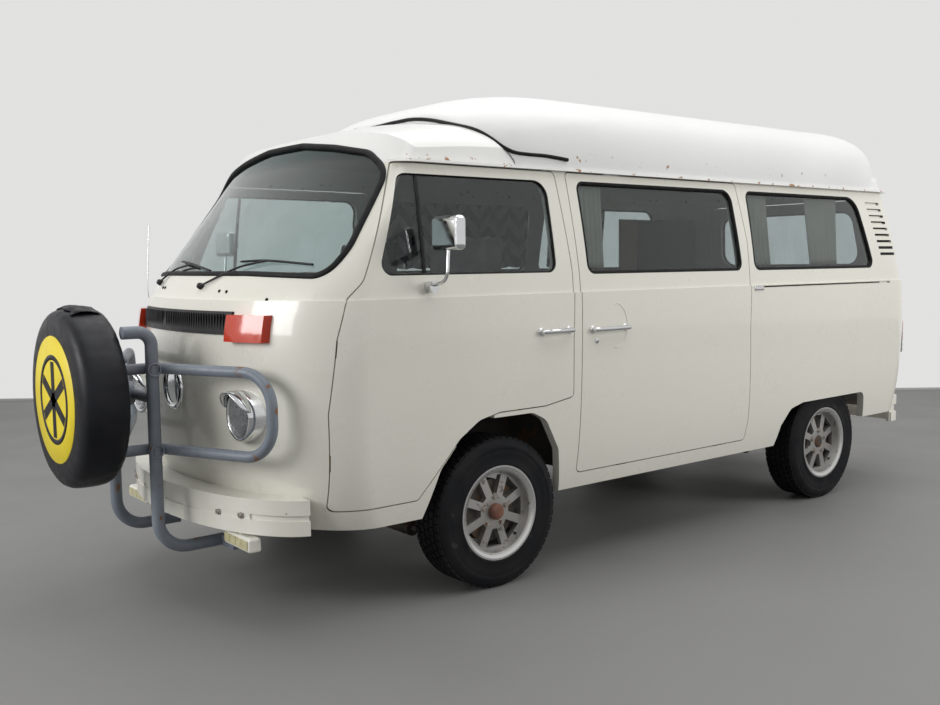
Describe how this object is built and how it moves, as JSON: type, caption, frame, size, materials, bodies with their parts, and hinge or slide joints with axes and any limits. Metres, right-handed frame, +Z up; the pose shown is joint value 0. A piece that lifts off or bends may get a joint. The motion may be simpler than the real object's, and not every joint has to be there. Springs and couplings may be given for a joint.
{
  "type": "camper van",
  "caption": "Forward-control camper van with a lifting roof, sliding side door, tube guard on the nose and a covered spare wheel.",
  "frame": {"origin": "on the ground under the middle of the whole vehicle's length and width", "axes": "+X to the vehicle's left side, +Y to its rear, +Z up; the nose points along -Y"},
  "size_m": [2.088, 4.927, 2.1132],
  "materials": {
    "body_paint": "warm white paint, satin",
    "roof_paint": "white paint, rust spots",
    "glass": "clear",
    "tyre": "matte",
    "rim": "cast, polished lip",
    "steel": "oily",
    "lamp": "ribbed",
    "turn_lamp": "gloss",
    "grille": "matte",
    "bumper": "white paint",
    "guard": "blue-grey paint",
    "cover": "vinyl",
    "floor": "dull",
    "engine": "dull",
    "cushion": "teal-blue cloth",
    "wood": "pine panel, varnished",
    "chrome": "chromed"
  },
  "bodies": {
    "body": {"nose_panel": "body_paint", "side_panel_left": "body_paint", "side_panel_right": "body_paint", "rear_panel": "body_paint", "roof_panel": "roof_paint", "floor_pan": "floor", "side_glass": "glass", "windscreen": "glass", "headlamps": "lamp", "fresh_air_grille": "grille", "turn_lamps": "turn_lamp", "front_bumper": "bumper", "rear_bumper": "bumper", "bull_bar": "guard", "spare_cover": "cover", "sliding_door": "body_paint", "front_axle": "steel", "rear_axle": "steel", "engine_block": "engine", "seat_base": "floor", "engine_deck": "floor", "silencer": "steel", "spare_wheel": "tyre", "tail_lamps": "turn_lamp", "fog_lamps": "bumper", "hinges_and_seats": "steel", "dashboard": "grille", "steering_column": "steel", "cab_seats": "cushion", "rear_seat": "cushion", "mattress": "cushion", "cabinet": "wood"},
    "front_door_left": {"front_door_left": "body_paint", "door_glass_left": "glass", "mirror_left": "chrome"},
    "front_door_right": {"front_door_right": "body_paint", "door_glass_right": "glass", "mirror_right": "chrome"},
    "tailgate": {"tailgate": "body_paint", "tailgate_glass": "glass"},
    "engine_lid": {"engine_lid": "body_paint"},
    "pop_top": {"pop_top": "roof_paint"},
    "knuckle_left": {"knuckle_left": "steel"},
    "knuckle_right": {"knuckle_right": "steel"},
    "wheel_front_left": {"tyre_front_left": "tyre", "rim_front_left": "rim"},
    "wheel_front_right": {"tyre_front_right": "tyre", "rim_front_right": "rim"},
    "wheel_rear_left": {"tyre_rear_left": "tyre", "rim_rear_left": "rim"},
    "wheel_rear_right": {"tyre_rear_right": "tyre", "rim_rear_right": "rim"},
    "steering_wheel": {"steering_wheel": "grille"}
  },
  "joints": [
    {"name": "steer_left", "type": "hinge", "parent": "body", "child": "knuckle_left", "pos_m": [0.66, -0.9515, 0.315], "axis": [0, 0, 1], "range_deg": [-30, 30]},
    {"name": "steer_right", "type": "hinge", "parent": "body", "child": "knuckle_right", "pos_m": [-0.66, -0.9515, 0.315], "axis": [0, 0, 1], "range_deg": [-30, 30]},
    {"name": "spin_front_left", "type": "hinge", "parent": "knuckle_left", "child": "wheel_front_left", "pos_m": [0.737, -0.9515, 0.315], "axis": [1, 0, 0], "continuous": true},
    {"name": "spin_front_right", "type": "hinge", "parent": "knuckle_right", "child": "wheel_front_right", "pos_m": [-0.737, -0.9515, 0.315], "axis": [1, 0, 0], "continuous": true},
    {"name": "spin_rear_left", "type": "hinge", "parent": "body", "child": "wheel_rear_left", "pos_m": [0.727, 1.4485, 0.315], "axis": [1, 0, 0], "continuous": true},
    {"name": "spin_rear_right", "type": "hinge", "parent": "body", "child": "wheel_rear_right", "pos_m": [-0.727, 1.4485, 0.315], "axis": [1, 0, 0], "continuous": true},
    {"name": "door_left_swing", "type": "hinge", "parent": "body", "child": "front_door_left", "pos_m": [0.836, -1.7435, 0.9], "axis": [0, 0, -1], "range_deg": [0, 65]},
    {"name": "door_right_swing", "type": "hinge", "parent": "body", "child": "front_door_right", "pos_m": [-0.836, -1.7435, 0.9], "axis": [0, 0, 1], "range_deg": [0, 65]},
    {"name": "tailgate_lift", "type": "hinge", "parent": "body", "child": "tailgate", "pos_m": [0, 2.2445, 1.713], "axis": [1, 0, 0], "range_deg": [0, 80]},
    {"name": "engine_lid_lift", "type": "hinge", "parent": "body", "child": "engine_lid", "pos_m": [0, 2.3415, 0.934], "axis": [1, 0, 0], "range_deg": [0, 70]},
    {"name": "pop_top_lift", "type": "hinge", "parent": "body", "child": "pop_top", "pos_m": [0, 2.1325, 1.744], "axis": [-1, 0, 0], "range_deg": [0, 20]},
    {"name": "steering_wheel_turn", "type": "hinge", "parent": "body", "child": "steering_wheel", "pos_m": [-0.38, -1.3915, 1.11], "axis": [0, 0.4695, 0.8829], "range_deg": [-360, 360]}
  ],
  "couplings": [
    {"joint": "steer_right", "follows": "steer_left", "ratio": 1},
    {"joint": "steering_wheel_turn", "follows": "steer_left", "ratio": 12}
  ]
}
